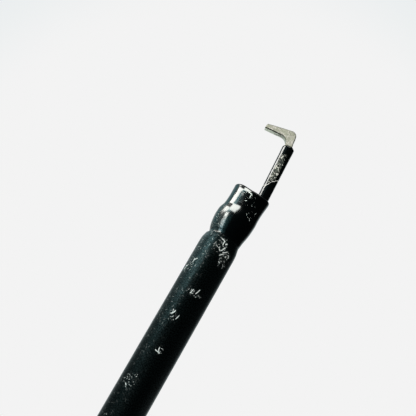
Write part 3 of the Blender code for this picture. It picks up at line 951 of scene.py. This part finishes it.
def hook_steel_material():
    """Bare steel: mottled and pitted, with painted shade along its lower front corner, and darker brown
    mottling on its downward faces near the bend.
    """
    s = Shader("bare_steel")
    fine = s.noise(s.place, 3.2, 4.0, 0.7)
    broad = s.noise(s.place, 0.55, 3.0, 0.6, 0.3)
    pits = specks(s, s.x, s.z, 4.5, 0.6, 0.09, 2.0)
    brushed = s.noise(s.combine(s.times(s.x, 0.5), s.y, s.times(s.z, 2.2)), 4.5, 2.0)
    normal = s.split(s.node("NewGeometry").outputs["Normal"])
    facing_down = s.times(normal[2], -1.0)
    facing_front = s.times(normal[1], -1.0)
    # Painted shade: faces turned down and towards the camera side (-Y) make a dark line along the lower front
    # corner.
    corner = s.times(s.ramp(facing_down, 0.06, 0.28), s.ramp(facing_front, 0.08, 0.30))
    straight = s.ramp(s.x, 1.2, -1.2, 0.25, 1.0)
    spots = s.ramp(s.noise(s.place, 1.5, 2.0, 0.5), 0.42, 0.60)
    bright = s.mix(spots, (0.66, 0.68, 0.53), (0.97, 0.94, 0.83))
    colour = s.mix(s.ramp(fine, 0.38, 0.55), s.mix(broad, (0.42, 0.43, 0.33), (0.60, 0.60, 0.48)), bright)
    colour = s.mix(s.times(pits, 0.6), colour, (0.16, 0.16, 0.12))
    # Darker brown mottling on faces that point down, within a few millimetres of x = -1 on the arm, broken up
    # by noise.
    mottling = s.times(s.ramp(s.absolute(s.plus(s.x, 1.0)), 2.6, 0.6), s.ramp(facing_down, 0.2, 0.6))
    mottling = s.times(mottling, s.ramp(s.noise(s.place, 2.2, 3.0, 0.6), 0.40, 0.60))
    colour = s.mix(s.times(mottling, 0.8), colour, (0.15, 0.13, 0.09))
    # Painted shade: the dark line along the lower front corner, strongest along the straight arm.
    colour = s.mix(s.times(s.times(corner, straight), 0.95), colour, (0.03, 0.033, 0.028))
    rough = s.times_plus(fine, 0.18, 0.38)
    level = s.times_plus(fine, 0.6, s.times(brushed, 0.3))
    level = s.minus(level, s.times(pits, 0.4))
    return s.finish(
        Base_Color=colour,
        Metallic=0.9,
        Roughness=rough,
        Normal=s.bump(level, 0.45, 0.03),
    )


def inner_steel_material():
    """Plain turned steel for the pieces inside."""
    s = Shader("inner_steel")
    radius = s.math("SQRT", s.times_plus(s.x, s.x, s.times(s.y, s.y)))
    turning = s.noise(s.combine(s.times(radius, 6.0), s.times(s.z, 2.5), 1.0), 2.0, 2.0)
    mottling = s.noise(s.place, 0.4, 3.0, 0.6)
    colour = s.mix(mottling, (0.42, 0.42, 0.42), (0.60, 0.60, 0.60))
    colour = s.mix(s.times(turning, 0.4), colour, (0.30, 0.30, 0.30))
    rough = s.times_plus(turning, 0.2, 0.24)
    return s.finish(Base_Color=colour, Metallic=1.0, Roughness=rough, Normal=s.bump(turning, 0.3, 0.02))


def plug_material():
    """Dull black plastic with a little dust."""
    s = Shader("plug_plastic")
    grain = s.noise(s.place, 6.0, 3.0, 0.6)
    cloud = s.noise(s.place, 0.5, 2.0)
    dust = specks(s, s.x, s.y, 2.4, 0.7, 0.12, 3.0)
    colour = s.mix(cloud, (0.010, 0.011, 0.011), (0.022, 0.023, 0.022))
    colour = s.mix(s.times(dust, 0.4), colour, (0.3, 0.3, 0.28))
    rough = s.times_plus(grain, 0.2, 0.5)
    return s.finish(Base_Color=colour, Roughness=rough, Normal=s.bump(grain, 0.5, 0.03))


# ---------------------------------------------------------------- stage, light, camera

def camera_axes():
    """Right, up and back of the camera, and the point it turns about."""
    side = Vector((math.cos(CAMERA_AZIMUTH), math.sin(CAMERA_AZIMUTH), 0.0))
    back = Vector(
        (
            math.sin(CAMERA_AZIMUTH) * math.cos(TOOL_TILT),
            -math.cos(CAMERA_AZIMUTH) * math.cos(TOOL_TILT),
            -math.sin(TOOL_TILT),
        )
    )
    up = Vector((0.0, 0.0, 1.0))
    along = (up - back * up.dot(back)).normalized()
    a, b = TOOL_IN_FRAME
    norm = math.hypot(a, b)
    right = along * (a / norm) + side * (b / norm)
    top = along * (b / norm) - side * (a / norm)
    aim = Vector((0.0, 0.0, AIM_HEIGHT)) + side * AIM_SIDE
    return right, top, back, aim


def build_camera():
    """The camera, turned so that the tool runs up and to the right in the picture."""
    right, top, back, aim = camera_axes()
    data = bpy.data.cameras.new("camera")
    data.lens = LENS_MM
    data.sensor_width = SENSOR_MM
    data.clip_start = 0.005
    data.clip_end = 20.0
    item = bpy.data.objects.new("camera", data)
    turn = Matrix((right, top, back)).transposed()
    item.matrix_world = Matrix.Translation((aim + back * CAMERA_DISTANCE) * MM) @ turn.to_4x4()
    bpy.context.scene.collection.objects.link(item)
    bpy.context.scene.camera = item


def direction(azimuth_deg, elevation_deg):
    """Unit vector towards a side of the tool: azimuth 0 is -Y, 90 is +X."""
    a, e = math.radians(azimuth_deg), math.radians(elevation_deg)
    return Vector((math.sin(a) * math.cos(e), -math.cos(a) * math.cos(e), math.sin(e)))


def area_light(
    name, azimuth_deg, elevation_deg, distance, width_deg, height_deg, radiance,
    colour=(1, 1, 1), mirrored=True,
):
    """A soft box seen from the nose in one direction, its size as angles and its brightness as radiance."""
    aim = Vector((0.0, 0.0, LIGHT_AIM_HEIGHT))
    way = direction(azimuth_deg, elevation_deg)
    data = bpy.data.lights.new(name, "AREA")
    data.shape = "RECTANGLE"
    data.size = 2 * distance * math.tan(math.radians(width_deg) / 2) * MM
    data.size_y = 2 * distance * math.tan(math.radians(height_deg) / 2) * MM
    data.energy = radiance * math.pi * data.size * data.size_y
    data.color = colour
    item = bpy.data.objects.new(name, data)
    item.location = (aim + way * distance) * MM
    item.rotation_mode = "QUATERNION"
    item.rotation_quaternion = way.to_track_quat("Z", "Y")
    bpy.context.scene.collection.objects.link(item)
    item.visible_camera = False
    item.visible_glossy = mirrored
    return item


def shine_on(lights, items, through_floor=False):
    """Let some lights reach only some pieces; through_floor lets lights below the floor pass it."""
    group = bpy.data.collections.new("lit_by_" + lights[0].name)
    for item in items:
        group.objects.link(item)
    for light in lights:
        light.light_linking.receiver_collection = group
        if through_floor:
            light.light_linking.blocker_collection = group


def build_world():
    """Pale background to the eye, with painted shade darkening it slightly towards the frame's corners; in
    reflections, a pale backdrop behind the tool, dark elsewhere.
    """
    world = bpy.data.worlds.new("world")
    bpy.context.scene.world = world
    world.use_nodes = True
    world.node_tree.nodes.clear()
    g = Graph(world.node_tree)
    coordinates = g.node("TexCoord")
    from_middle = g.measure("DISTANCE", coordinates.outputs["Window"], (0.5, 0.30, 0.0))
    seen = g.node("Background")
    # Painted shade: the background seen by the camera darkens to a cooler grey towards the frame's corners.
    g.feed(seen.inputs["Color"], g.mix(g.ramp(from_middle, 0.66, 0.90), BACKGROUND, BACKGROUND_CORNER_SHADE))

    way = coordinates.outputs["Generated"]
    behind = g.measure("DOT_PRODUCT", way, (-math.sin(CAMERA_AZIMUTH), math.cos(CAMERA_AZIMUTH), 0.0))
    leftward = g.measure("DOT_PRODUCT", way, tuple(direction(-128.0, 15.0)))
    rise = g.split(way)[2]
    backdrop = g.ramp(behind, 0.55, 0.98, 0.0, 0.85)
    wash = g.ramp(leftward, 0.70, 0.97, 0.0, 0.22)
    below = g.times(g.ramp(rise, 0.0, -0.25, 0.0, 0.70), g.ramp(behind, 0.1, 0.6))
    above = g.ramp(rise, 0.65, 0.95, 0.0, 0.10)
    strength = g.plus(g.most(backdrop, wash), 0.012)
    lit = g.node("Background")
    g.feed(lit.inputs["Strength"], g.most(strength, g.most(below, above)))
    g.feed(lit.inputs["Color"], (0.86, 0.99, 1.0))

    choose = g.node("MixShader")
    shown = (g.node("LightPath").outputs["Is Camera Ray"], lit.outputs[0], seen.outputs[0])
    for socket, value in zip(choose.inputs, shown):
        g.feed(socket, value)
    g.feed(g.node("OutputWorld").inputs["Surface"], choose.outputs[0])


def build_floor():
    """A pale round floor that fades into the background."""
    radius = 420.0
    rings = 40
    segments = 96
    vertices = [(0.0, 0.0, 0.0)]
    faces = []
    for i in range(1, rings + 1):
        r = radius * (i / rings) ** 1.6
        for k in range(segments):
            turn = 2 * math.pi * k / segments
            vertices.append((r * math.cos(turn), r * math.sin(turn), 0.0))
    for k in range(segments):
        faces.append((0, 1 + k, 1 + (k + 1) % segments))
    for i in range(rings - 1):
        base = 1 + i * segments
        for k in range(segments):
            n = (k + 1) % segments
            faces.append((base + k, base + segments + k, base + segments + n, base + n))
    mesh = bpy.data.meshes.new("floor")
    mesh.from_pydata([(x * MM, y * MM, z * MM) for x, y, z in vertices], [], faces)
    mesh.shade_smooth()
    floor = bpy.data.objects.new("floor", mesh)
    bpy.context.scene.collection.objects.link(floor)
    s = Shader("floor")
    span = s.math("SQRT", s.times_plus(s.x, s.x, s.times(s.y, s.y)))
    mottle = s.noise(s.place, 0.12, 3.0, 0.6)
    tooth = s.noise(s.place, 1.5, 2.0)
    colour = s.mix(mottle, (0.50, 0.50, 0.50), (0.54, 0.54, 0.54))
    s.finish(Base_Color=colour, Roughness=0.8, Specular_IOR_Level=0.1, Normal=s.bump(tooth, 0.1, 0.05))
    fade = s.node("MixShader")
    glow = s.node("Emission")
    glow.inputs["Color"].default_value = (*BACKGROUND, 1.0)
    output = next(node for node in s.tree.nodes if node.type == "OUTPUT_MATERIAL")
    s.feed(fade.inputs[0], s.ramp(span, 30.0, 380.0, 0.45, 1.0))
    s.feed(fade.inputs[1], s.surface.outputs[0])
    s.feed(fade.inputs[2], glow.outputs[0])
    s.feed(output.inputs["Surface"], fade.outputs[0])
    mesh.materials.append(s.material)
    floor.visible_glossy = False
    return floor


# ---------------------------------------------------------------- build

grip = build_grip_sleeve()
nose = build_nose_sleeve()
shank = build_shank_sleeve()
hook = build_hook()
grip.data.materials.append(satin_sleeve_material())
nose.data.materials.append(glossy_nose_material())
shank.data.materials.append(worn_shank_material())
hook.data.materials.append(hook_steel_material())
inner_steel = inner_steel_material()
plug = plug_material()
for name in HIDDEN_NODES:
    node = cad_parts[name]
    node.data.materials.clear()
    node.data.materials.append(plug if name == "end_plug" else inner_steel)

floor = build_floor()
build_world()
# Lights, each group reaching only its own pieces.
nose_lights = [
    area_light("key", -80.0, 25.5, 300.0, 28.0, 16.0, 22.0, WARM),
    area_light("key_skirt", -56.0, 25.0, 300.0, 16.0, 14.0, 2.4, DEEP_TEAL),
    area_light("key_skirt_wide", -46.0, 25.0, 300.0, 34.0, 14.0, 0.5, DEEP_TEAL),
    area_light("upper", -41.0, 41.0, 300.0, 38.0, 24.0, 22.0, WARM),
    area_light("low_edge", -53.0, 12.8, 220.0, 18.0, 5.0, 32.0, WARM),
    area_light("low", -51.0, 6.0, 220.0, 20.0, 9.0, 16.0, WARM),
    area_light("low_tail", -50.0, -4.0, 220.0, 22.0, 12.0, 8.0, TEAL),
    area_light("low_skirt", -38.0, 0.0, 260.0, 14.0, 22.0, 0.9, DEEP_TEAL),
    area_light("low_skirt_wide", -31.0, 0.0, 260.0, 28.0, 22.0, 0.35, DEEP_TEAL),
    area_light("left_back", -118.0, 22.0, 300.0, 30.0, 34.0, 0.5, DEEP_TEAL),
    area_light("left_low", -90.0, -3.0, 300.0, 46.0, 30.0, 0.45, DEEP_TEAL),
]
shank_lights = [
    area_light("shank_key", -85.0, 25.5, 300.0, 27.0, 16.0, 18.0, WARM),
    area_light("shank_soft", -40.0, 20.0, 300.0, 30.0, 30.0, 0.25, TEAL),
    area_light("shank_top", -10.0, 55.0, 300.0, 50.0, 30.0, 5.0, WARM),
]
hook_lights = [
    area_light("hook_front", -12.0, 20.0, 300.0, 60.0, 50.0, 1.05),
    area_light("hook_side", -80.0, 25.0, 300.0, 30.0, 20.0, 4.0, WARM),
]
handle_lights = [
    area_light("sheen", -62.0, 18.0, 260.0, 34.0, 13.0, 3.3, TEAL),
    area_light("ridge", -51.0, 19.0, 200.0, 8.0, 8.0, 22.0, PALE),
    area_light("sheen_low", -68.0, 7.0, 260.0, 44.0, 10.0, 0.4, TEAL),
    area_light("wash", -113.0, 28.0, 260.0, 42.0, 30.0, 1.2, TEAL),
    area_light("dust_light", -16.0, 44.0, 200.0, 20.0, 20.0, 21.0, SILVER, mirrored=False),
]
table_lights = [
    area_light("table_left", -24.0, -38.0, 300.0, 26.0, 20.0, 4.0, PALE),
    area_light("table_right", 120.0, -36.0, 300.0, 30.0, 24.0, 5.0, PALE),
]

shine_on(nose_lights, [nose])
shine_on(shank_lights, [shank])
shine_on(hook_lights, [hook] + [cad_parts[name] for name in HIDDEN_NODES])
shine_on(handle_lights, [grip, floor])
shine_on(table_lights, [grip], through_floor=True)
build_camera()

view = bpy.context.scene.view_settings
view.view_transform = "Standard"
view.look = "None"
